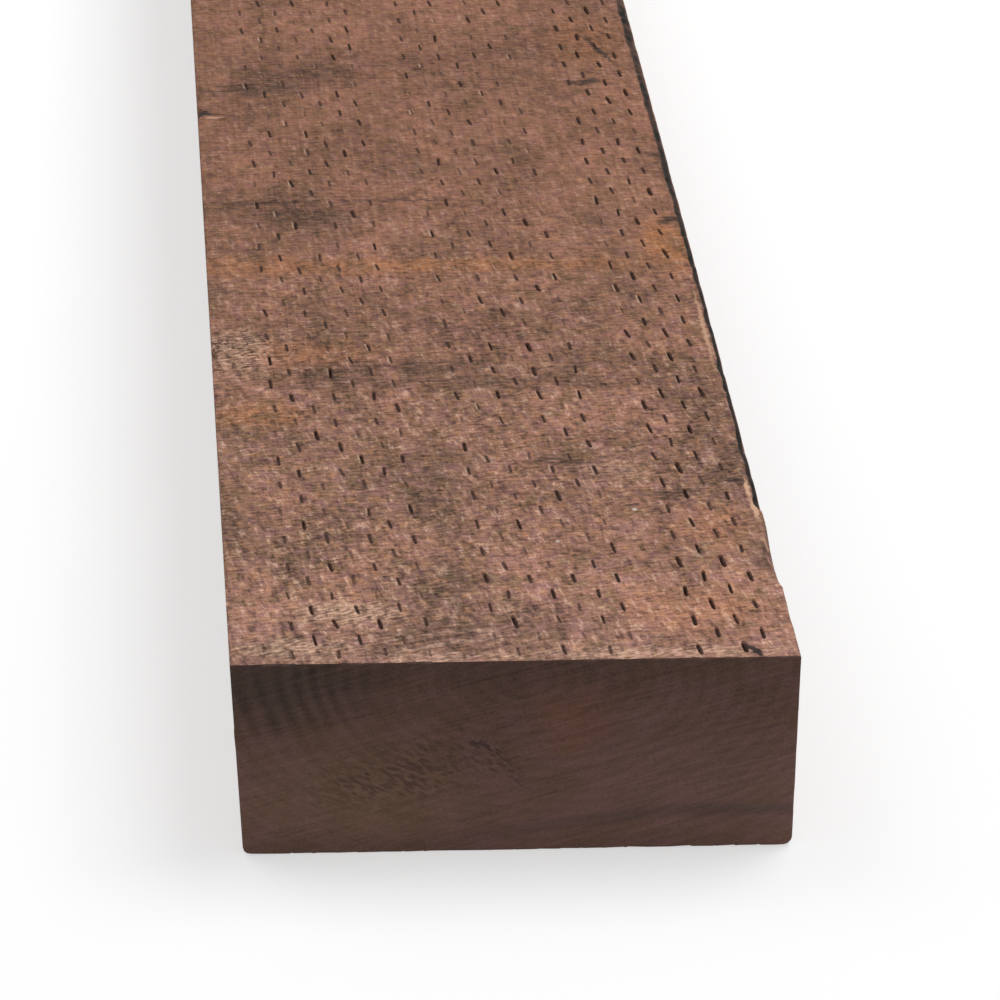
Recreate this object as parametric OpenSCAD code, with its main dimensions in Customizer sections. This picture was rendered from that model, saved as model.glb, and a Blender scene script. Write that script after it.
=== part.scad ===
// Treated timber beam: one sawn length of incised, preservative-treated softwood.
// X runs across the section, Y along the length, and Z up from the face it lies on.

/* [Stock] */
// Width of the section, a nominal 10 inch face
beam_w = 234.95; // [140:0.05:300]
// Height of the section, a nominal 4 inch thickness
beam_h = 88.9; // [60:0.1:150]
// Length as sold, 8 feet
beam_l = 2438.4; // [1200:0.1:4900]
// How far the left side, sawn out of square, leans in at its foot
side_lean = 5.5; // [0:0.5:15]

/* [Arrises] */
// Radius of the two lower arrises, worn round by handling
foot_r = 3.5; // [0.5:0.1:12]

/* [Wane] */
// Distance from the front end at which the wane begins on the right upper arris
wane_from = 100; // [0:5:600]
// Width that the wane takes off the top face at the far end
wane_w = 19; // [6:0.5:30]
// Depth that the wane takes off the right side at the far end
wane_d = 12; // [6:0.5:40]

/* [Right arris chip] */
// Distance from the front end to the middle of the chip
chip_at = 92; // [60:1:500]
// Length of the chip along the arris
chip_l = 56; // [24:1:80]
// Width that the chip takes off the top face
chip_w = 3; // [1:0.1:8]
// Depth that the chip takes off the right side
chip_d = 5; // [1:0.1:9]

/* [Left arris nick] */
// Distance from the front end to the middle of the nick
nick_at = 605; // [60:1:1000]
// Length of the nick along the arris
nick_l = 14; // [10:0.5:40]
// Width that the nick takes off the top face
nick_w = 3; // [1:0.1:4.5]
// Depth that the nick takes off the left side
nick_d = 3.5; // [1:0.1:4.5]

/* [Hidden] */
$fn = 96;
timber_brown = "#8A6656";

// The end shown foremost lies towards -Y
front_y = -beam_l / 2;

// Angle of the left side from the upright
lean_angle = atan(side_lean / beam_h);

// How far the circle of a lower round stands proud of the two sides it eases
round_proud = 0.02;

// The wane is one plane that leaves the arris at wane_from and reaches
// wane_w and wane_d where it meets the far end
wane_run = beam_l - wane_from;
wane_turn = atan(wane_d / wane_w);
wane_fall = atan(1 / wane_run / norm([1 / wane_w, 1 / wane_d]));
wane_waste = 4 * (wane_w + wane_d);

// What easing to radius r takes off a corner at the origin, whose sides run along
// 0 and along angle: an outline that crosses both sides squarely beside the round,
// less a circle that stands proud of the sides by a hair and so meets them cleanly
module corner_waste(r, angle) {
    inset = r - round_proud;
    reach = inset / tan(angle / 2);
    centre = [reach, inset];
    across = [-sin(angle), cos(angle)];
    difference() {
        polygon([
            centre,
            reach * [cos(angle), sin(angle)] + r * across,
            -centre,
            [reach, -r],
        ]);
        translate(centre) circle(r);
    }
}

// Sawn section, standing on the X axis, its upper arrises left sharp by the saw
module section() {
    right = beam_w / 2;
    left = -beam_w / 2;
    foot_left = left + side_lean;
    difference() {
        polygon([[foot_left, 0], [right, 0], [right, beam_h], [left, beam_h]]);
        translate([foot_left, 0]) corner_waste(foot_r, 90 + lean_angle);
        translate([right, 0]) rotate(90) corner_waste(foot_r, 90);
    }
}

// Wood missing outside the plane of the wane
module wane_cut() {
    translate([beam_w / 2, front_y + wane_from, beam_h])
        rotate([-wane_fall, wane_turn, 0])
            translate([-wane_waste / 2, -wane_waste, 0])
                cube([wane_waste, wane_run + 2 * wane_waste, wane_waste]);
}

// A shallow scoop out of an upper arris, as a knocked-off splinter leaves.
// The ball meets the arris over the length l, and reaches w over the top face
// and d down the side. side is 1 on the right and -1 on the left.
module arris_scoop(side, at, l, w, d) {
    half = l / 2;
    out = (half * half - w * w) / (2 * w);
    up = (half * half - d * d) / (2 * d);
    translate([side * (beam_w / 2 + out), front_y + at, beam_h + up])
        sphere(norm([half, out, up]));
}

module beam() {
    color(timber_brown)
        difference() {
            translate([0, beam_l / 2, 0])
                rotate([90, 0, 0])
                    linear_extrude(beam_l) section();
            wane_cut();
            arris_scoop(1, chip_at, chip_l, chip_w, chip_d);
            arris_scoop(-1, nick_at, nick_l, nick_w, nick_d);
        }
}

beam();
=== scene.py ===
# %% [markdown]
# # A treated timber beam
# The object is one length of sawn softwood that was pressed full of brown preservative. Rollers with
# teeth first cut short slits into its faces, so that the liquid could soak in. Everything that is seen
# on it is one piece of wood, so this lesson makes one closed surface, with one finish for the sawn skin and
# one for the end grain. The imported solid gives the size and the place. It is loaded first and never moved.

# %% The frame
import math

import bpy
import numpy as np
from mathutils import Matrix, Vector


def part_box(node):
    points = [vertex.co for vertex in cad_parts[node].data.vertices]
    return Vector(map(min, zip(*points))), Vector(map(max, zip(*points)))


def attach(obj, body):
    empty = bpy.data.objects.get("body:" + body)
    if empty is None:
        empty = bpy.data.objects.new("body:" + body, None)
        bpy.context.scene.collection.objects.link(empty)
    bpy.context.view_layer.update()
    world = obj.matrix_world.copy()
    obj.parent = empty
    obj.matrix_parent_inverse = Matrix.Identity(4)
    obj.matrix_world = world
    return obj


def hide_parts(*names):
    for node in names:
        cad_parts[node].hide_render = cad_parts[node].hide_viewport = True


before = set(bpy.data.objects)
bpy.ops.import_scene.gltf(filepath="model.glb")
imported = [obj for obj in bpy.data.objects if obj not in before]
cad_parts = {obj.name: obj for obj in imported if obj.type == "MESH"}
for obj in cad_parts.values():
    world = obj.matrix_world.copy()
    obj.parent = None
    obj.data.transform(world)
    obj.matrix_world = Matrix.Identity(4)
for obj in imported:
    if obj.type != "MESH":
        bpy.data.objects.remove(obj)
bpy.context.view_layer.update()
low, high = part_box("beam")
mm = 0.001
width, length, height = high - low
front = low.y
print("beam", [round(side / mm, 1) for side in (width, length, height)], "mm")

# %% [markdown]
# ## The sizes of the section
# The solid has five departures from a plain bar: its left side leans, its lower arrises are round, a wane
# grows along the right upper arris, a chip is missing near the front, and the left arris has a nick.
# A surface that stands for the solid has to follow them all, so their sizes are repeated here.

# %% Sizes that the solid has
side_lean = 5.5 * mm
foot_radius = 3.5 * mm
wane_from, wane_width, wane_depth = 100 * mm, 19 * mm, 12 * mm
chip_at, chip_half, chip_width, chip_depth = 92 * mm, 28 * mm, 3 * mm, 5 * mm
nick_at, nick_half, nick_width, nick_depth = 605 * mm, 7 * mm, 3 * mm, 3.5 * mm
print("left side", round(math.hypot(height, side_lean) / mm, 2), "mm along its lean")

# %% [markdown]
# ## The rows of slits
# The teeth of the roller stand in columns along the timber, and each column is half a step behind the
# one beside it, like bricks. On the upper face there are groups of seven, seven and four columns with
# bare bands between them. A texture could only paint such slits. Here each slit is five stations long and
# three lines wide in the surface itself, so that its walls and bottom lie in real shade, and the finish
# adds painted shade in them.

# %% Stations along the length and columns across each face
stations_per_step = 5
steps = round(length / (26.4 * mm) * stations_per_step)
step = length / steps * stations_per_step
station = np.linspace(0, length, steps + 1)
column_gap = 9.3 * mm
first_slit = 8.5 * mm


def columns(start, groups):
    """Places of the columns across a face, and 1 for those that stand half a step behind: start plus
    a whole number of column gaps, for each number in each group's range."""
    numbers = np.concatenate([np.arange(a, b) for a, b in groups])
    return start + column_gap * numbers, numbers % 2


top_columns = columns(26.3 * mm, [(0, 7), (9, 16), (18, 22)])
under_columns = columns(14.0 * mm, [(0, 4), (6, 13), (15, 22)])
side_columns = columns(16.5 * mm, [(0, 7)])
print(len(top_columns[0]), "columns on top,", len(side_columns[0]), "on a side, step", round(step / mm, 2))

# %% [markdown]
# ## Wear of the arrises
# Sawn arrises are never straight. Short fibres break out of them all along, and now and then a longer
# splinter is gone. The wear is one number for each station: a small constant, plus smoothed random
# numbers, squared so that most places stay sharp and a few are deep. The wane, the chip, the nick and a
# split that runs along the beginning of the wane come on top of this wear.

# %% How much is missing at each upper arris
random = np.random.default_rng(41)


def smooth_random(reach):
    """Random numbers with mean 0 and spread 1, one a station, averaged over reach stations."""
    raw = random.normal(size=len(station) + 2 * reach)
    kernel = np.hanning(2 * reach + 3)[1:-1]
    soft = np.convolve(raw, kernel, mode="valid")[: len(station)]
    return soft / np.linalg.norm(kernel)


def arris_wear(least, fine, coarse):
    """least, plus fine times a quick random number squared, plus coarse times the part of a slow
    random number above 1."""
    return least + fine * smooth_random(1) ** 2 + coarse * np.clip(smooth_random(3) - 1.0, 0, 2)


def scoop(at, half, depth):
    """Depth of a ball's scoop along the arris: with out = (half squared - depth squared) / (2 depth),
    the root of out squared + half squared - offset squared, less out."""
    out = (half**2 - depth**2) / (2 * depth)
    return np.sqrt(np.clip(out**2 + half**2 - (station - at) ** 2, out**2, None)) - out


wane_share = np.clip((station - wane_from) / (length - wane_from), 0, 1)
split_from, split_run, split_width, split_depth = 135 * mm, 5 * mm, 2.0 * mm, 1.5 * mm
split = np.clip((station - split_from) / split_run, 0, 1)
right_wear = arris_wear(0.45 * mm, 0.25 * mm, 0.7 * mm)
left_wear = arris_wear(0.45 * mm, 0.25 * mm, 0.6 * mm)
right_on_top = right_wear + np.maximum.reduce(
    [wane_width * wane_share, split_width * split, scoop(chip_at, chip_half, chip_width)])
right_on_side = right_wear + np.maximum.reduce(
    [wane_depth * wane_share, split_depth * split, scoop(chip_at, chip_half, chip_depth)])
left_on_top = left_wear + scoop(nick_at, nick_half, nick_width)
left_on_side = left_wear + scoop(nick_at, nick_half, nick_depth)
print("largest wear", [round(wear.max() / mm, 2) for wear in (right_wear, left_wear)], "mm right and left")

# %% [markdown]
# ## Lines across a face
# The section is a closed row of points, and each point is carried along the length as one line. A face
# gets three lines for each column of slits, left rim, bottom and right rim, and plain lines where the
# wood is bare. The wane takes wood off the top and the right side, so the lines there are pushed
# together in front of it, in their order, and a slit that is pushed loses its depth.

# %% A face as a family of lines
rim = 1.08 * mm
plain_gap = 8.0 * mm
crowd = 0.5 * mm


def face_lines(across, column_places):
    """Places t of a face's lines, their column numbers (-1 for none) and their lanes (-1 left rim,
    0 bottom, 1 right rim). Gaps wider than plain_gap are divided into equal parts of about that size."""
    places = column_places[0]
    slit_t = (places[:, None] + rim * np.array([-1, 0, 1])).ravel()
    owner = np.repeat(np.arange(len(places)), 3)
    lane = np.tile([-1, 0, 1], len(places))
    fence = np.concatenate([[0], slit_t, [across]])
    parts = np.maximum(np.round(np.diff(fence) / plain_gap), 1).astype(int)
    plain = [np.linspace(a, b, n + 1)[1:-1] for a, b, n in zip(fence[:-1], fence[1:], parts)]
    plain_t = np.concatenate(plain)
    t = np.concatenate([slit_t, plain_t])
    none = np.full(len(plain_t), -1)
    order = np.argsort(t)
    return t[order], np.concatenate([owner, none])[order], np.concatenate([lane, 0 * none])[order]


def crowded(t, missing_first, missing_last, across):
    """Places t, one row a line and one column a station, kept in order between the two missing
    stretches, at least crowd apart there."""
    rank = np.arange(len(t))[:, None]
    lowest = missing_first + crowd * (rank + 1)
    highest = across - missing_last - crowd * (len(t) - rank)
    return np.clip(np.broadcast_to(t[:, None], (len(t), len(station))), lowest, highest)


print(len(face_lines(height, side_columns)[0]), "lines across a side")

# %% [markdown]
# ## One face with its slits
# Five stations make one slit: a tip, three places of full depth and a tip. The stations of a column
# are free to move along their line, so each column draws its own five together round its slit. Length,
# depth, tilt and strength are random for each slit, because many have closed up again as the
# wood dried. On some the tooth pushed up a pale lip of torn fibre along the left rim, and the finish
# adds a painted highlight on it. In the photograph the group along the right arris is cut deepest, and
# the slits grow weaker away from the front end.

# %% The slits of one column
slit_half = 5.9 * mm
slit_depth = 2.6 * mm
rim_shade = 0.2
lip_rise = 0.25 * mm
lip_chance = 0.22
fading = 0.3
fade_over = 600 * mm
along_share = np.array([-1.0, -0.72, 0.0, 0.72, 1.0])
depth_share = np.array([0.0, 0.9, 1.0, 0.9, 0.0])
rim_share = np.array([0.3, 0.95, 1.0, 0.95, 0.3])
lip_share = np.array([0.0, 1.0, 1.0, 1.0, 0.0])
strength_spread, least_strength, most_strength = 0.23, 0.1, 1.1
least_length, least_gape, least_depth = 0.6, 0.75, 0.1
length_range, gape_range, lip_range = (0.88, 1.1), (0.8, 1.2), (0.88, 1.0)
place_spread, wander_spread = 0.8 * mm, 0.35 * mm
mean_tilt, tilt_spread = -0.09, 0.045


def at_least(least, hard):
    """least for a slit that is hardly cut, and 1 for a full one: least + (1 - least) times hard."""
    return least + (1 - least) * hard


def slit_column(strength, behind):
    """The slits of one column, a row of five numbers for each: station numbers, places along, shifts
    across, openings of the rims, depths, forces, which set the painted shade, shares of slit and of pale
    lip, which carries a painted highlight. Slit number j has the five stations from 5 j + 1 + 2 behind on,
    drawn round the place first_slit + step (j + behind / 2).
    A harder slit is longer, wider and deeper, from a least share of each up to the whole."""
    first = 1 + 2 * behind
    count = (len(station) - 1 - first) // stations_per_step
    centre = first_slit + step * (np.arange(count) + behind / 2)
    weaker = 1 - fading * strength * np.clip(centre / fade_over, 0, 1)
    hard = strength * weaker + strength_spread * random.normal(size=count)
    hard = np.clip(hard, least_strength, most_strength)
    half = slit_half * at_least(least_length, np.minimum(hard, 1)) * random.uniform(*length_range, count)
    tilt = random.normal(mean_tilt, tilt_spread, count)
    wander = random.normal(0, wander_spread, count)
    centre = centre + random.normal(0, place_spread, count)
    gape = at_least(least_gape, hard) * random.uniform(*gape_range, count)
    lipped = random.uniform(size=count) < lip_chance
    raised = np.where(lipped, random.uniform(*lip_range, count), 0)
    reach = half[:, None] * along_share
    return {
        "index": first + stations_per_step * np.arange(count)[:, None] + np.arange(stations_per_step),
        "place": centre[:, None] + reach,
        "sway": wander[:, None] + np.sin(tilt)[:, None] * reach,
        "opening": gape[:, None] * rim_share,
        "depth": at_least(least_depth, hard**1.5)[:, None] * depth_share,
        "force": np.clip(0.3 + 0.8 * hard, 0, 1)[:, None],
        "within": np.sqrt(depth_share),
        "lip": raised[:, None] * lip_share,
    }


longest = 2 * slit_half * length_range[1]
print("slits up to", round(longest / mm, 1), "mm long, a full one", round(slit_depth / mm, 1), "mm deep")


# %% The slits of one face
def incised_face(t, owner, lane, parity, strength):
    """Shifts of a face's lines: across, along and inward for every line and station, with the share of
    slit, its force, which sets its painted shade, and the share of pale lip with a painted highlight, from 0
    to 1. The middle line of a column goes down into the slit, its left line rises where there is a lip,
    and both outer lines follow the opening."""
    across, along, inward, slit, force, lip = np.zeros((6, len(t), len(station)))
    for column in range(len(parity)):
        tooth = slit_column(strength[column], parity[column])
        index = tooth["index"]
        for row in np.flatnonzero(owner == column):
            side = lane[row]
            along[row, index] = tooth["place"] - station[index]
            across[row, index] = tooth["sway"] + side * rim * (tooth["opening"] - 1)
            force[row, index] = tooth["force"]
            slit[row, index] = tooth["within"] * (1 if side == 0 else rim_shade)
            if side == 0:
                inward[row, index] = slit_depth * tooth["depth"]
            if side == -1:
                inward[row, index] = -lip_rise * tooth["lip"]
                lip[row, index] = tooth["lip"]
    return across, along, inward, slit, force, lip


# %% [markdown]
# ## The four long faces
# Each face is described in its own terms, a place across it and a depth into it, and then laid into the
# frame by a starting corner, a direction across and a direction inward. That way one function makes all
# four faces, the leaning one too.

# %% Lay the faces out
top_right_corner = np.array([high.x, high.z])
top_left_corner = np.array([low.x, high.z])
foot_left_corner = np.array([low.x + side_lean, low.z])
foot_right_corner = np.array([high.x, low.z])
flat = np.zeros(len(station))
foot_reach = foot_radius / math.tan(0.5 * (math.pi / 2 + math.atan2(side_lean, height)))


def unit(way):
    """A direction of length 1: the way divided by its length."""
    return way / np.linalg.norm(way)


def lay_face(start, end, column_places, strength, missing_first, missing_last):
    """Lines of the face from corner start to corner end, as points, slit, force and lip: the corner,
    plus place times the direction across, plus depth times the direction inward, which is the direction
    across turned a quarter to the right."""
    size = np.linalg.norm(end - start)
    toward = unit(end - start)
    inward_way = np.array([toward[1], -toward[0]])
    t, owner, lane = face_lines(size, column_places)
    across, along, inward, slit, force, lip = incised_face(t, owner, lane, column_places[1], strength)
    rest = crowded(t, missing_first, missing_last, size)
    pushed = np.abs(rest - t[:, None]) > 0.01 * mm
    place = np.where(pushed, rest, t[:, None] + across)
    inward, slit, lip = (np.where(pushed, 0, part) for part in (inward, slit, lip))
    x = start[0] + toward[0] * place + inward_way[0] * inward
    z = start[1] + toward[1] * place + inward_way[1] * inward
    y = front + station + along
    return np.stack([x, y, z], axis=-1), slit, force, lip


top_strength = np.repeat([0.46, 0.4, 0.78], [7, 7, 4])
under_strength = np.repeat([0.6, 0.5, 0.5], [4, 7, 7])
side_strength = np.repeat([0.55], [7])
top_face = lay_face(
    top_left_corner, top_right_corner, top_columns, top_strength, left_on_top, right_on_top)
right_face = lay_face(
    top_right_corner, foot_right_corner, side_columns, side_strength, right_on_side, flat + foot_radius)
under_face = lay_face(
    foot_right_corner, foot_left_corner, under_columns, under_strength,
    flat + foot_radius, flat + foot_reach)
left_face = lay_face(
    foot_left_corner, top_left_corner, side_columns, side_strength, flat + foot_reach, left_on_side)
print("lines", [len(part[0]) for part in (top_face, right_face, under_face, left_face)])

# %% [markdown]
# ## The four arrises
# Between two faces lie four lines that turn the corner. The lower ones lie on an arc. The upper ones go
# straight from where the top ends to where the side begins, which makes the flat wane, and their middle
# lines are roughened, because broken fibres leave no smooth bevel.

# %% Lay the arrises out
arris_lines = 4
tear_share = 0.1
widest_tear = 3 * mm


def plain_lines(section):
    """Points of lines whose x and z are given for every station, with no slit and no lip on them."""
    y = np.broadcast_to(front + station, section.shape[:2])
    points = np.stack([section[..., 0], y, section[..., 1]], axis=-1)
    return points, np.zeros(y.shape), np.zeros(y.shape), np.zeros(y.shape)


def broken_arris(corner, way_in, missing_in, way_out, missing_out):
    """Four lines from corner + way_in times missing_in to corner + way_out times missing_out, the two
    middle ones moved at random by about tear_share of the width, or of widest_tear if that is less."""
    first = corner + missing_in[:, None] * way_in
    last = corner + missing_out[:, None] * way_out
    share = np.linspace(0, 1, arris_lines)[:, None, None]
    section = first * (1 - share) + last * share
    size = np.minimum(np.linalg.norm(last - first, axis=1), widest_tear)
    tear = random.normal(0, tear_share, (arris_lines - 2, len(station))) * size
    section[1:-1] += tear[..., None] * unit(-(way_in + way_out))
    return plain_lines(section)


def round_arris(corner, way_in, way_out, reach):
    """Four lines on the arc that touches both faces reach away from the corner. With half the angle
    between the ways, the centre lies reach / cos(half) from the corner along their middle, and the
    radius is reach times tan(half)."""
    middle = unit(way_in + way_out)
    half = math.acos(np.clip(np.dot(way_in, middle), -1, 1))
    side = unit(way_in - np.dot(way_in, middle) * middle)
    sweep = (math.pi / 2 - half) * np.linspace(1, -1, arris_lines)[:, None]
    arc = reach * math.tan(half) * (side * np.sin(sweep) - middle * np.cos(sweep))
    section = corner + middle * reach / math.cos(half) + arc
    return plain_lines(np.broadcast_to(section[:, None], (arris_lines, len(station), 2)))


up, right = np.array([0.0, 1.0]), np.array([1.0, 0.0])
left_way_up = unit(top_left_corner - foot_left_corner)
right_arris = broken_arris(top_right_corner, -right, right_on_top, -up, right_on_side)
left_arris = broken_arris(top_left_corner, -left_way_up, left_on_side, right, left_on_top)
right_foot = round_arris(foot_right_corner, up, -right, foot_radius)
left_foot = round_arris(foot_left_corner, right, left_way_up, foot_reach)
skin_parts = [top_face, right_arris, right_face, right_foot, under_face, left_foot, left_face, left_arris]
skin, slit_share, slit_force, slit_lip_and_highlight = (np.concatenate(arrays) for arrays in zip(*skin_parts))
print("skin", skin.shape[0], "lines by", skin.shape[1], "stations")

# %% [markdown]
# ## The sawn ends
# An end is the last ring of the skin drawn together towards the middle of the section, ring by ring, on one
# flat plane, as the saw left it. Only the outermost ring, the arris itself, is crumbled a little. One
# many-sided face closes the innermost ring, and the body is watertight.

# %% Rings of an end
ring_shares = np.array([0.985, 0.9, 0.6, 0.25])
crumble = 0.35 * mm


def end_rings(ring, end_y):
    """Rings inside an end's outline: middle + share times (point - middle), where the middle of a point
    is the nearest place on the section's half-height line, half a height from either side."""
    reach = (width - height) / 2
    middle_x = np.clip(ring[:, 0], -reach, reach)
    x = middle_x + ring_shares[:, None] * (ring[:, 0] - middle_x)
    z = height / 2 + ring_shares[:, None] * (ring[:, 2] - height / 2)
    return np.stack([x, np.full(x.shape, end_y), z], axis=-1)


front_rings = end_rings(skin[:, 0], low.y)
far_rings = end_rings(skin[:, -1], high.y)
skin[:, 0, 1] += np.abs(random.normal(0, crumble, len(skin)))
skin[:, -1, 1] -= np.abs(random.normal(0, crumble, len(skin)))
print("end rings", front_rings.shape)

# %% [markdown]
# ## One closed mesh
# The faces are index arrays: every line is joined to the next, the last to the first, and every station to
# the next. Blender reads the order of a face's corners, and seen from outside they go round to the
# left. Four numbers are kept at each vertex for the finish: how far it lies in a slit, how hard that slit
# was cut, which sets the painted shade in it, whether it is on a pale lip with a painted highlight, and
# how far it lies on the wane, which is painted as shade.

# %% Faces
lines, rows = skin.shape[:2]
rings = len(ring_shares)
skin_index = np.arange(lines * rows).reshape(lines, rows)
front_index = np.vstack([skin_index[:, 0], lines * rows + np.arange(rings * lines).reshape(rings, lines)])
far_index = np.vstack([skin_index[:, -1], front_index[1:] + rings * lines])


def quads(grid, turned=False):
    """Quads between each row of an index array and the next, and each column and the next one round,
    listed the other way round where turned is set."""
    beside = np.roll(grid, -1, axis=1)
    corners = [grid[:-1], beside[:-1], beside[1:], grid[1:]]
    return np.stack(corners[::-1] if turned else corners, axis=-1).reshape(-1, 4)


skin_quads = quads(skin_index.T)
end_quads = np.concatenate([quads(front_index, turned=True), quads(far_index)])
vertices = np.concatenate([skin.reshape(-1, 3), front_rings.reshape(-1, 3), far_rings.reshape(-1, 3)])
faces = np.concatenate([skin_quads, end_quads]).tolist()
faces += [front_index[-1][::-1].tolist(), far_index[-1].tolist()]
mesh = bpy.data.meshes.new("incised_beam")
mesh.from_pydata(vertices.tolist(), [], faces)
mesh.calc_loop_triangles()
print(len(mesh.vertices), "vertices,", len(mesh.loop_triangles), "triangles, valid", not mesh.validate())

# %% Numbers at the vertices
wane_and_shade_share = np.zeros((lines, rows))
# The right arris lines from the split on carry the wane, which the finish paints nearly black as shade.
wane_and_shade_share[len(top_face[0]):][:arris_lines] = np.array([0.5, 1, 1, 0.5])[:, None] * split


def keep(name, values):
    """Stores one number a vertex, 0 on the ends, under a name that a finish can read."""
    attribute = mesh.attributes.new(name, "FLOAT", "POINT")
    on_ends = np.zeros(len(mesh.vertices) - values.size)
    attribute.data.foreach_set("value", np.concatenate([values.ravel(), on_ends]).astype(np.float32))


keep("slit", slit_share)
keep("force", slit_force)
keep("lip", slit_lip_and_highlight)
keep("wane", wane_and_shade_share)
beam = bpy.data.objects.new("incised_beam", mesh)
bpy.context.scene.collection.objects.link(beam)
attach(beam, "root")
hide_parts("beam")
slit_lines = int((np.diff(np.sign(top_face[1]), axis=1) > 0).sum())
print(slit_lines // 3, "slits on top")

# %% [markdown]
# ## A kit for the wood finish
# The finish is procedural: every colour is worked out from the place of a point on the wood. Written out
# node by node that would be hundreds of lines, so a few small functions add one node each and return its
# output. A number or a colour given to them is set on the socket, and an output is linked to it. The sawn
# skin and the end grain are two finishes of the same wood, and the functions add to the newest one.

# %% Node helpers
def start_finish(name):
    """A new material on the mesh: its node tree and its shader."""
    finish = bpy.data.materials.new(name)
    finish.use_nodes = True
    mesh.materials.append(finish)
    return finish.node_tree, finish.node_tree.nodes["Principled BSDF"]


def node(kind, *values, output=0, **settings):
    """Adds a node, gives it its settings, and sets or links its inputs in their order."""
    made = tree.nodes.new("ShaderNode" + kind)
    for key, value in settings.items():
        setattr(made, key, value)
    sockets = [socket for socket in made.inputs if socket.enabled]
    for socket, value in zip(sockets, values):
        if isinstance(value, bpy.types.NodeSocket):
            tree.links.new(value, socket)
        else:
            socket.default_value = value
    return [socket for socket in made.outputs if socket.enabled][output]


# %% Arithmetic on numbers
def reckon(operation, *values):
    """One step of arithmetic on numbers."""
    return node("Math", *values, operation=operation)


def times(first, second):
    """The product of two numbers."""
    return reckon("MULTIPLY", first, second)


def total(*values):
    """The sum of several numbers."""
    result = values[0]
    for value in values[1:]:
        result = reckon("ADD", result, value)
    return result


def strongest(values):
    """The largest of several numbers at each place."""
    result = values[0]
    for value in values[1:]:
        result = reckon("MAXIMUM", result, value)
    return result


def ease(value, start, end, at_start=0.0, at_end=1.0):
    """Goes smoothly from at_start to at_end as the value goes from start to end."""
    return node("MapRange", value, start, end, at_start, at_end, interpolation_type="SMOOTHSTEP")


def about_zero(value, factor):
    """A noise, which lies about 0.5, as a number about 0 that swings by factor."""
    return reckon("MULTIPLY_ADD", value, factor, -0.5 * factor)


# %% Colours and kept numbers
def mix(share, first, second):
    """The first colour where share is 0, the second where it is 1."""
    return node("Mix", share, first, second, data_type="RGBA")


def scaled(colour, factor):
    """A colour, or a direction, times a number."""
    return node("VectorMath", colour, factor, operation="SCALE")


def stored(name):
    """A number that was kept at the vertices."""
    return node("Attribute", attribute_name=name, output=2)


def srgb(red, green, blue):
    """A colour as a screen shows it, 0 to 255, in the linear numbers that a shader wants."""
    share = np.array([red, green, blue]) / 255
    return (*np.where(share <= 0.04045, share / 12.92, ((share + 0.055) / 1.055) ** 2.4), 1.0)


# %% [markdown]
# ## Where a point lies
# All patterns use millimetres: x from the middle of the beam, y from its front end and z from the floor. A
# second copy of the place is shaken by noise, so that the stains drawn on it get ragged edges.

# %% Places, noises and ovals in millimetres
def place_in_mm():
    """x from the middle of the beam, y from its front end and z from the floor, in millimetres."""
    object_place = node("TexCoord", output=3)
    return node("Mapping", object_place, (0, -front / mm, 0), (0, 0, 0), (1 / mm, 1 / mm, 1 / mm))


def shake(point, cloud_size, reach, detail=0.0):
    """The place moved about at random, by up to half the reach, in clouds of the given size."""
    cloud = node("TexNoise", scaled(point, 1 / cloud_size), 1.0, detail, 0.6, output=1)
    centred = node("VectorMath", cloud, (0.5, 0.5, 0.5), operation="SUBTRACT")
    return node("VectorMath", centred, (reach, reach, reach), point, operation="MULTIPLY_ADD")


def fitted(point, middle, half, turn, axis):
    """The place as seen from the middle of an oval with these half sizes, which lies turned about one
    axis: (place - middle), turned back, divided by the half sizes."""
    if turn:
        angles = [turn if which == axis else 0.0 for which in range(3)]
        return node("Mapping", point, middle, angles, half, vector_type="TEXTURE")
    share = [1 / size for size in half]
    start = [-m * s for m, s in zip(middle, share)]
    return node("VectorMath", point, share, start, operation="MULTIPLY_ADD")


def noise(point, size, detail=1.0, rough=0.5, turn=0.0, axis=2, seed=0):
    """Cloudy numbers about 0.5 whose patches measure size, in mm, along x, y and z, in a pattern that is
    turned about one axis. Each seed starts the pattern at another place."""
    middle = [-far * seed * side for far, side in zip((3.1, 5.3, 7.7), size)]
    return node("TexNoise", fitted(point, middle, size, -turn, axis), 1.0, detail, rough)


def oval(point, middle, half, strength=1.0, turn=0.0, core=0.3, axis=2):
    """0 outside the oval with these half sizes in mm, and strength within its core."""
    distance = node("VectorMath", fitted(point, middle, half, turn, axis), operation="LENGTH")
    return ease(distance, 1.0, core, 0.0, strength)


# %% [markdown]
# ## Sawn skin
# Rough-sawn wood has patterns of several sizes on top of each other: broad patches where the wood took
# more or less of the preservative, blots of a centimetre, crumbs of torn wood a few millimetres
# large, short slanting fibres, the ripple of the saw across the face, and faint streaks along the grain.
# Each is a noise with its own size. Crumbs and fibres stand out most near the front end and in one patch
# on the left, where the saw tore the wood.

# %% Patterns of the skin
tree, skin_shader = start_finish("treated_skin")
place = place_in_mm()
shaken = shake(place, 8, 15, 1.0)
top_mm = height / mm
y_mm = node("SeparateXYZ", place, output=1)
patch = noise(place, (46, 70, 46), 1.0, 0.55, seed=1)
blot = noise(place, (12, 15, 12), 2.0, 0.6, seed=2)
hue = noise(place, (5, 7, 5), 1.0, 0.6, seed=3)
streak = noise(place, (1.4, 70, 1.4), 1.0, 0.5, seed=4)
crumb = noise(place, (2.4, 7.0, 2.4), 2.0, 0.65, turn=-0.2, seed=5)
ripple = noise(place, (9, 2.2, 9), 1.0, 0.6, seed=6)
fibre = noise(place, (4.2, 1.6, 4.2), 1.0, 0.5, turn=-0.35, seed=7)
mark_depth = 14.0


def top_marks(table, point, core=0.3):
    """Ovals on the upper face, from rows of x, y, half sizes along x and y, strength and turn."""
    return strongest([
        oval(point, (x, y, top_mm), (half_x, half_y, mark_depth), strength, turn, core)
        for x, y, half_x, half_y, strength, turn in table])


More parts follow.
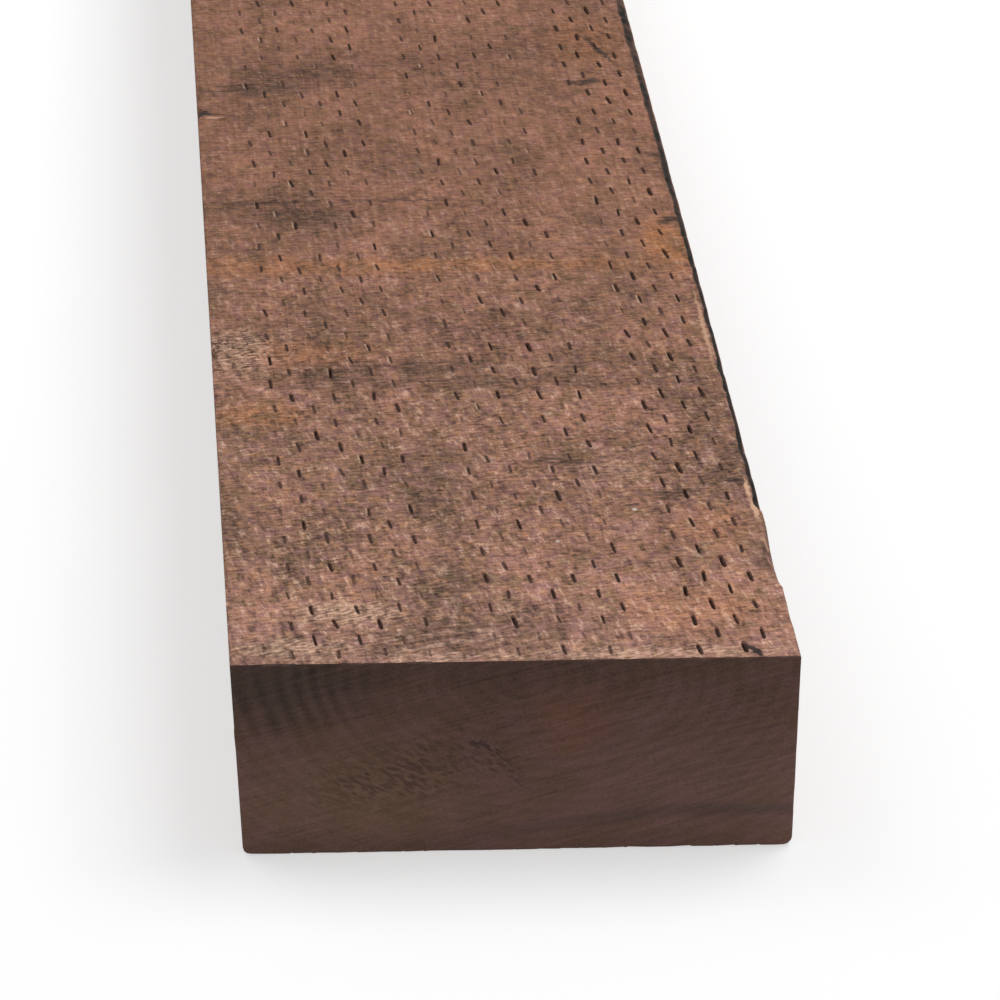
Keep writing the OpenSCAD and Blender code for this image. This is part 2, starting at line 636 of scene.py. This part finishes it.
torn_most = top_marks([
    (-70, 70, 120, 190, 0.85, 0.0), (70, 50, 110, 120, 0.7, 0.0),
    (-106, 307, 40, 60, 0.95, 0.0)], place, 0.2)
torn = reckon("MAXIMUM", torn_most, ease(y_mm, 150, 600, 0.72, 0.34))
print(len(tree.nodes), "nodes for the patterns")

# %% [markdown]
# ## Stains that this piece has
# The photograph shows particular marks on the upper face: dark knots and bands across the grain, orange
# bands, and pale worn places by the front edge. Each is one row of a short list, an oval with its middle and
# half sizes in millimetres, a strength and a turn. A drawn outline would be too regular, so the ovals are
# read at the shaken place, and their edges come out ragged.

# %% Dark, warm and pale stains
dark_marks = top_marks([
    (30, 190, 22, 9, 0.8, 0.0), (78, 155, 18, 8, 0.95, 0.0), (19, 31, 9, 7, 0.5, 0.0),
    (-16, 291, 30, 13, 0.7, 0.0), (0, 272, 170, 10, 0.5, 0.0), (-69, 467, 34, 18, 0.55, 0.0),
    (-83, 635, 40, 13, 0.6, 0.0), (-113, 603, 8, 7, 0.9, 0.0), (-31, 146, 15, 15, 0.35, 0.0)], shaken)
thin_marks = top_marks([
    (-85, 485, 42, 3.5, 0.6, 0.0), (-16, 487, 42, 3.5, 0.6, 0.0), (110, 167, 8, 3.5, 0.9, 0.2),
    (114, 540, 8, 4, 0.8, 0.0),
    (86, 642, 14, 5, 0.9, 0.0), (113, 458, 10, 7, 0.9, -0.2), (112, 84, 6, 12, 0.5, 0.0)], shaken)
warm_marks = top_marks([
    (-97, 240, 28, 18, 0.5, 0.0), (0, 407, 170, 13, 0.42, 0.0), (-95, 407, 52, 18, 0.35, 0.0),
    (106, 430, 18, 48, 0.6, 0.0), (-75, 305, 44, 22, 0.3, 0.0), (80, 45, 48, 36, 0.22, 0.0),
    (95, 120, 26, 32, 0.22, 0.0), (90, 700, 34, 48, 0.3, 0.0)], shaken)
pale_marks = top_marks([
    (-92, 14, 34, 12, 0.7, 0.0), (-66, 45, 30, 13, 0.65, 0.0), (62, 6, 72, 8, 0.5, 0.0),
    (-106, 307, 22, 40, 0.5, 0.0), (-20, 4, 62, 5, 0.45, 0.0), (60, 180, 24, 18, 0.25, 0.0)], shaken)
print(len(tree.nodes), "nodes with the stains")

# %% [markdown]
# ## Splinters, lines and broad places
# Narrow marks need a gentler shaking, or they would fall apart: pale splinters on the arrises, which are
# fresh wood, together with a painted highlight along the right arris, and short cracks are frayed in small
# clouds, and lines of the grain sway in larger ones. Last come broad places that are only a little lighter
# or darker than the rest. They are added up as one swing of the brightness.

# %% Splinters, grain lines and cracks
# The long pale mark along the right arris at 330 mm is a painted highlight; the others are pale fresh wood.
splinters_and_highlight = top_marks([
    (113.4, 158, 1.5, 14, 1.0, 0.0), (114.4, 138, 2.0, 15, 1.0, 0.0), (113, 330, 1.4, 60, 0.6, 0.0),
    (115.4, 106, 1.2, 7, 0.7, 0.2), (-109, 598, 6, 1.9, 0.6, 0.0)], shake(place, 3, 1.8))
swaying = shake(place, 14, 4)
grain_lines = top_marks([
    (-32, 20, 32, 1.8, 0.6, 0.27), (-56, 10, 10, 1.7, 0.6, -0.35), (-25, 30, 40, 1.8, 0.4, 0.12),
    (-18, 10, 26, 1.5, 0.4, 0.2), (-96, 642, 24, 2.2, 0.65, 0.03),
    (-100, 634, 20, 1.9, 0.55, 0.0)], swaying)
pale_lines = top_marks([(-28, 15.5, 38, 1.9, 0.55, 0.28), (-30, 25, 36, 1.6, 0.4, 0.18)], swaying)
frayed = shake(place, 3, 4)
cracks = top_marks([
    (99, 6, 10, 2.6, 1.0, 2.1), (-114, 604, 5.5, 5, 1.0, 0.3), (96, 690, 30, 2.1, 0.85, 1.87)], frayed, 0.4)
flecks = top_marks([(62, 139, 1.5, 1.8, 0.9, 0.0), (26, 109, 1.3, 1.6, 0.7, 0.0)], place)
print(len(tree.nodes), "nodes with the splinters, lines and cracks")

# %% Broad light and dark places
light_places = top_marks([
    (-75, 48, 76, 30, 0.34, 0.0), (18, 12, 40, 20, 0.34, 0.0), (-85, 190, 66, 62, 0.27, 0.0),
    (0, 255, 36, 26, 0.28, 0.0), (-110, 400, 24, 28, 0.2, 0.0), (92, 494, 40, 26, 0.4, 0.0),
    (100, 70, 34, 70, 0.22, 0.0)], shaken, 0.0)
dark_places = top_marks([
    (20, 48, 26, 24, 0.22, 0.0), (56, 115, 46, 50, 0.18, 0.0), (62, 215, 30, 34, 0.18, 0.0),
    (-68, 287, 70, 20, 0.3, 0.0), (4, 325, 46, 38, 0.36, 0.0), (-56, 652, 54, 30, 0.36, 0.0),
    (-12, 675, 60, 28, 0.28, 0.0), (-100, 570, 40, 60, 0.15, 0.0), (70, 560, 36, 32, 0.12, 0.0),
    (-60, 480, 76, 30, 0.22, 0.0), (70, 705, 80, 46, 0.26, 0.0)], shaken, 0.0)
place_swing = reckon("SUBTRACT", light_places, dark_places)
print(len(tree.nodes), "nodes with all marks")

# %% [markdown]
# ## The skin's colour
# Five browns are mixed by the patterns: olive, red, mauve, ochre and dark. The stains come next, each
# broken up by a noise, and crumbs get the paler and darker colours of torn wood together with a painted
# highlight on top and painted shade between. Then all of it swings in brightness, which holds painted
# light that is strongest at the front end and weaker towards the far end.
# The wane is painted nearly black as painted shade, with brown bark left on it towards the far end. The
# slits come last, with painted shade in them, so that their walls stay dark whatever is above them.

# %% Browns and stains
skin_colour = mix(ease(patch, 0.38, 0.62), srgb(130, 97, 79), srgb(146, 105, 87))
skin_colour = mix(ease(blot, 0.52, 0.68, 0, 0.7), skin_colour, srgb(139, 101, 93))
skin_colour = mix(ease(blot, 0.47, 0.32, 0, 0.7), skin_colour, srgb(131, 103, 75))
skin_colour = mix(ease(hue, 0.54, 0.7, 0, 0.7), skin_colour, srgb(158, 114, 84))
skin_colour = mix(ease(hue, 0.46, 0.3, 0, 0.8), skin_colour, srgb(124, 88, 84))
skin_colour = mix(ease(y_mm, 60, 600, 0, 0.36), skin_colour, srgb(145, 93, 66))
skin_colour = mix(ease(y_mm, 110, 0, 0, 0.25), skin_colour, srgb(146, 108, 98))
skin_colour = mix(times(warm_marks, ease(blot, 0.3, 0.55, 0.45, 1)), skin_colour, srgb(176, 116, 68))
skin_colour = mix(times(pale_marks, ease(fibre, 0.4, 0.62, 0.3, 1)), skin_colour, srgb(193, 158, 135))
# Crumbs of torn wood: their own paler and darker colour, with a painted highlight on top and painted shade
# between.
skin_colour = mix(times(ease(crumb, 0.54, 0.72, 0, 0.8), torn), skin_colour, srgb(184, 150, 129))
skin_colour = mix(times(ease(crumb, 0.46, 0.28, 0, 0.8), torn), skin_colour, srgb(84, 59, 52))
skin_colour = mix(times(dark_marks, ease(ripple, 0.62, 0.4, 0.5, 1)), skin_colour, srgb(76, 56, 44))
skin_colour = mix(strongest([thin_marks, grain_lines]), skin_colour, srgb(62, 45, 37))
skin_colour = mix(pale_lines, skin_colour, srgb(182, 150, 130))
print(len(tree.nodes), "nodes with the browns")

# %% Swing of the brightness
darkest = 0.25
# Torn places swing in brightness with the crumbs and fibres, partly their own tone and partly painted light
# and shade on their relief.
torn_tone_and_shade = times(total(about_zero(crumb, 1.3), about_zero(fibre, 2.5)), torn)
sawn = times(about_zero(ripple, 0.9), ease(y_mm, 250, 450, 1.35, 1.0))
cloudy = times(total(about_zero(blot, 1.2), about_zero(patch, 0.9)), ease(y_mm, 100, 500, 1.0, 0.65))
# Painted light: the skin is brighter at the front end and darker towards the far end, light falling off
# along the beam.
level = total(ease(y_mm, 0, 220, 0.15, 0.0), ease(y_mm, 150, 600, 1.0, 0.87))
swing = total(torn_tone_and_shade, sawn, about_zero(streak, 0.45), cloudy, place_swing, level)
skin_colour = scaled(skin_colour, reckon("MAXIMUM", swing, darkest))
print(len(tree.nodes), "nodes with the swing")

# %% Splinters, wane and slits
# Splinters of fresh wood and a painted highlight along the right arris.
skin_colour = mix(splinters_and_highlight, skin_colour, srgb(214, 170, 140))
skin_colour = mix(flecks, skin_colour, srgb(222, 208, 196))
skin_colour = mix(cracks, skin_colour, srgb(42, 30, 25))
# Painted shade on the wane: nearly black, with patches of brown bark left towards the far end.
bark_left = times(ease(blot, 0.45, 0.62), ease(y_mm, 300, 1100, 0.1, 0.9))
bark_and_painted_shade = mix(bark_left, srgb(27, 22, 19), srgb(98, 71, 58))
bark_and_painted_shade = scaled(bark_and_painted_shade, total(about_zero(streak, 1.2), about_zero(ripple, 0.8), 1.0))
skin_colour = mix(ease(stored("wane"), 0.45, 0.85), skin_colour, bark_and_painted_shade)
# Pale lip of torn fibre with a painted highlight on the left rim of some slits.
lip_highlight_edge = times(ease(stored("lip"), 0.84, 0.97), ease(hue, 0.35, 0.6, 0.2, 0.8))
skin_colour = mix(lip_highlight_edge, skin_colour, srgb(190, 160, 138))
# Painted shade in the slits: dark brown where the slit share is high, stronger for harder cuts, over the
# real shade of their walls.
in_slit = stored("slit")
slit_edge = total(in_slit, times(about_zero(crumb, 0.9), ease(in_slit, 0.2, 0.5)))
slit_shade_strength = ease(stored("force"), 0.0, 0.8)
skin_colour = mix(times(ease(slit_edge, 0.2, 0.55), slit_shade_strength), skin_colour, srgb(80, 58, 50))
print(len(tree.nodes), "nodes with the slits")

# %% [markdown]
# ## The skin's relief and gloss
# The crumbs, the ripple and the streaks are heights too, in millimetres, so that the light models them. The
# wood is dry and dull.

# %% Relief of the skin
skin_height = total(
    times(total(about_zero(crumb, 1.2), about_zero(fibre, 0.9)), reckon("ADD", torn, 0.2)),
    about_zero(ripple, 0.6), about_zero(streak, 0.2))
tree.links.new(skin_colour, skin_shader.inputs["Base Color"])
tree.links.new(node("Bump", 1.0, mm, 0.1, skin_height), skin_shader.inputs["Normal"])
dullness = reckon("MAXIMUM", ease(crumb, 0.3, 0.7, 0.95, 0.8), stored("wane"))
tree.links.new(dullness, skin_shader.inputs["Roughness"])
skin_shader.inputs["Specular IOR Level"].default_value = 0.25
print(len(tree.nodes), "nodes in the skin")

# %% [markdown]
# ## End grain
# Across the grain the wood drank much more of the preservative, so an end is far darker than the faces.
# On it the year rings show as faint flattened ovals round a pith near the upper face, the saw left fine
# slanting lines, a field of torn pores lies left of the middle, and one dark band runs along the foot.

# %% Patterns of an end
tree, end_shader = start_finish("treated_end_grain")
place = place_in_mm()
shaken = shake(place, 12, 22, 1.0)
bent = shake(place, 40, 12)
x_mm, z_mm = (node("SeparateXYZ", place, output=axis) for axis in (0, 2))
any_y = 1000.0
endless = 1e6
end_blot = noise(place, (16, any_y, 11), 2.0, 0.6, seed=11)
saw_line = noise(place, (26, any_y, 1.1), 1.0, 0.5, turn=0.28, axis=1, seed=12)
fine_pore = noise(place, (1.6, any_y, 1.0), 1.0, 0.6, turn=0.3, axis=1, seed=13)
dash = noise(place, (4.4, any_y, 1.5), 0.0, 0.4, turn=-0.5, axis=1, seed=14)
ring_gap = 7.5
pith_way = node("VectorMath", bent, (4, 0, 82), operation="SUBTRACT")
pith_oval = node("VectorMath", pith_way, (1, 0, 1 / 0.62), operation="MULTIPLY")
ring_turn = times(node("VectorMath", pith_oval, operation="LENGTH"), 2 * math.pi / ring_gap)
ring_wave = reckon("SINE", ring_turn)
foot_line = ease(x_mm, -60, 80, 3.5, 17.5)
foot_gap = reckon("ABSOLUTE", reckon("SUBTRACT", z_mm, foot_line))
foot_band = times(ease(foot_gap, 5.0, 0.5), ease(x_mm, -75, 95, 0.15, 0.6))
print(len(tree.nodes), "nodes for the patterns of an end")


def end_mark(x, z, half_x, half_z, strength, turn=0.0):
    """A soft oval stain on an end."""
    return oval(shaken, (x, 0, z), (half_x, endless, half_z), strength, turn, 0.1, axis=1)


# %% Colours of an end
end_colour = mix(ease(end_blot, 0.38, 0.62), srgb(112, 85, 72), srgb(116, 86, 80))
end_colour = mix(end_mark(-62, 30, 66, 44, 0.65), end_colour, srgb(122, 96, 76))
end_colour = mix(end_mark(72, 40, 66, 60, 0.6), end_colour, srgb(122, 92, 86))
end_colour = mix(end_mark(24, 62, 26, 26, 0.5), end_colour, srgb(132, 90, 70))
end_colour = mix(end_mark(-98, 80, 60, 34, 0.85), end_colour, srgb(80, 66, 59))
end_colour = mix(end_mark(-20, 92, 170, 26, 0.6), end_colour, srgb(94, 72, 66))
end_colour = mix(foot_band, end_colour, srgb(84, 70, 66))
pore_field = strongest([end_mark(-47, 37, 58, 21, 0.8, -0.26), end_mark(-10, 46, 27, 9, 1.0, 0.75)])
torn_pores = times(ease(dash, 0.48, 0.6), pore_field)
end_colour = mix(times(torn_pores, 0.65), end_colour, srgb(64, 48, 46))
ring_depth = reckon("MAXIMUM", end_mark(-92, 72, 44, 32, 0.18), 0.05)
# The end is painted lighter towards the foot, 0.8 at the top to 1.3 at the floor, as painted light thrown up
# by the floor.
end_swing = total(
    times(ring_wave, ring_depth), about_zero(saw_line, 0.6), about_zero(fine_pore, 0.7),
    about_zero(end_blot, 0.3), ease(z_mm, 90, 0, 0.80, 1.30), ease(x_mm, 90, 116, 0.0, 0.06))
end_height = total(about_zero(saw_line, 0.3), about_zero(fine_pore, 0.25), times(torn_pores, -0.35))
tree.links.new(scaled(end_colour, end_swing), end_shader.inputs["Base Color"])
tree.links.new(node("Bump", 1.0, mm, 0.1, end_height), end_shader.inputs["Normal"])
end_shader.inputs["Roughness"].default_value = 0.9
end_shader.inputs["Specular IOR Level"].default_value = 0.25
on_end = np.arange(len(mesh.polygons)) >= len(skin_quads)
mesh.polygons.foreach_set("material_index", on_end.astype(np.int32))
print(len(tree.nodes), "nodes in the end grain, on", int(on_end.sum()), "faces")

# %% [markdown]
# ## Floor and background
# The beam lies on a pale floor before a white background. To the camera the floor adds a little glow of its
# own, so that it is white where no shadow falls, while the light that it throws back on the wood stays
# plain. The glow is switched by the kind of ray, and the floor keeps the soft shadow of the beam.

# %% Stage
floor_reach = 60.0
floor_drop = 0.3 * mm
floor_corners = np.array([(-1, -1, 0), (1, -1, 0), (1, 1, 0), (-1, 1, 0)]) * floor_reach
floor_corners[:, 2] = -floor_drop
floor_mesh = bpy.data.meshes.new("floor")
floor_mesh.from_pydata(floor_corners.tolist(), [], [(0, 1, 2, 3)])
floor = bpy.data.objects.new("floor", floor_mesh)
bpy.context.scene.collection.objects.link(floor)


def seen_directly(target_tree):
    """1 for rays from the camera, a mirror or glass, and 0 for light that falls on a matt surface."""
    path = target_tree.nodes.new("ShaderNodeLightPath")
    first, second = (target_tree.nodes.new("ShaderNodeMath") for _ in range(2))
    first.operation = second.operation = "MAXIMUM"
    target_tree.links.new(path.outputs["Is Camera Ray"], first.inputs[0])
    target_tree.links.new(path.outputs["Is Glossy Ray"], first.inputs[1])
    target_tree.links.new(first.outputs[0], second.inputs[0])
    target_tree.links.new(path.outputs["Is Transmission Ray"], second.inputs[1])
    return second.outputs[0]


def switched(target_tree, off, on):
    """The number off for indirect light, and on for rays that are seen directly."""
    level = target_tree.nodes.new("ShaderNodeMapRange")
    level.inputs["To Min"].default_value = off
    level.inputs["To Max"].default_value = on
    target_tree.links.new(seen_directly(target_tree), level.inputs["Value"])
    return level.outputs["Result"]


floor_white = 0.5
floor_glow = 0.54
paper = bpy.data.materials.new("pale_floor")
paper.use_nodes = True
paper_shader = paper.node_tree.nodes["Principled BSDF"]
paper_shader.inputs["Base Color"].default_value = (floor_white, floor_white, floor_white, 1)
paper_shader.inputs["Roughness"].default_value = 1.0
paper_shader.inputs["Specular IOR Level"].default_value = 0.0
paper_shader.inputs["Emission Color"].default_value = (1, 1, 1, 1)
glow = switched(paper.node_tree, 0.0, floor_glow)
paper.node_tree.links.new(glow, paper_shader.inputs["Emission Strength"])
floor_mesh.materials.append(paper)
print("floor", round(floor_drop / mm, 1), "mm below the beam")

# %% [markdown]
# ## Light
# The upper face is well lit and the front end lies in shade, so the main light is a large softbox high
# above, a little behind and to the right. The white surroundings fill the shade. Together they light a
# flat upward face so that its colour comes out about as it is written.

# %% Lights
sky_level = 0.42
world = bpy.data.worlds.new("studio")
bpy.context.scene.world = world
world.use_nodes = True
background = world.node_tree.nodes["Background"]
background.inputs["Color"].default_value = (1, 1, 1, 1)
world.node_tree.links.new(switched(world.node_tree, sky_level, 1.0), background.inputs["Strength"])


def softbox(name, spot, size, power):
    """A square lamp at spot that faces the middle of the beam."""
    lamp = bpy.data.lights.new(name, "AREA")
    lamp.size = size
    lamp.energy = power
    holder = bpy.data.objects.new(name, lamp)
    bpy.context.scene.collection.objects.link(holder)
    facing = Vector(spot).to_track_quat("Z", "Y").to_matrix().to_4x4()
    holder.matrix_world = Matrix.Translation(spot) @ facing


softbox("key", (2.2, 0.4, 4.6), 3.2, 145)
softbox("fill", (-2.4, 1.2, 4.4), 3.2, 54)
print("lamps", [lamp.name for lamp in bpy.data.lights])

# %% [markdown]
# ## Camera
# The camera was found from the straight edges in the photograph: a long lens, looking down on the front
# end, with a small roll. Its angles and its place are plain numbers, and the lens follows from the focal
# length in pixels of a picture 1000 pixels wide.

# %% Camera
focal_pixels, frame_pixels = 5249, 1000
pitch, yaw, roll = (math.radians(angle) for angle in (26.02, 4.79, 1.31))
camera_spot = (-0.1672, front - 1.8956, 1.0910)
camera = bpy.data.cameras.new("camera")
camera.sensor_width = 36
camera.lens = focal_pixels / frame_pixels * camera.sensor_width
camera.clip_end = 200
viewer = bpy.data.objects.new("camera", camera)
bpy.context.scene.collection.objects.link(viewer)
turns = [(-yaw, "Z"), (math.pi / 2 - pitch, "X"), (roll, "Z")]
heading, tip, lean = (Matrix.Rotation(angle, 4, axis) for angle, axis in turns)
viewer.matrix_world = Matrix.Translation(camera_spot) @ heading @ tip @ lean
bpy.context.scene.camera = viewer
bpy.context.scene.view_settings.view_transform = "Standard"
print("lens", round(camera.lens, 1), "mm")
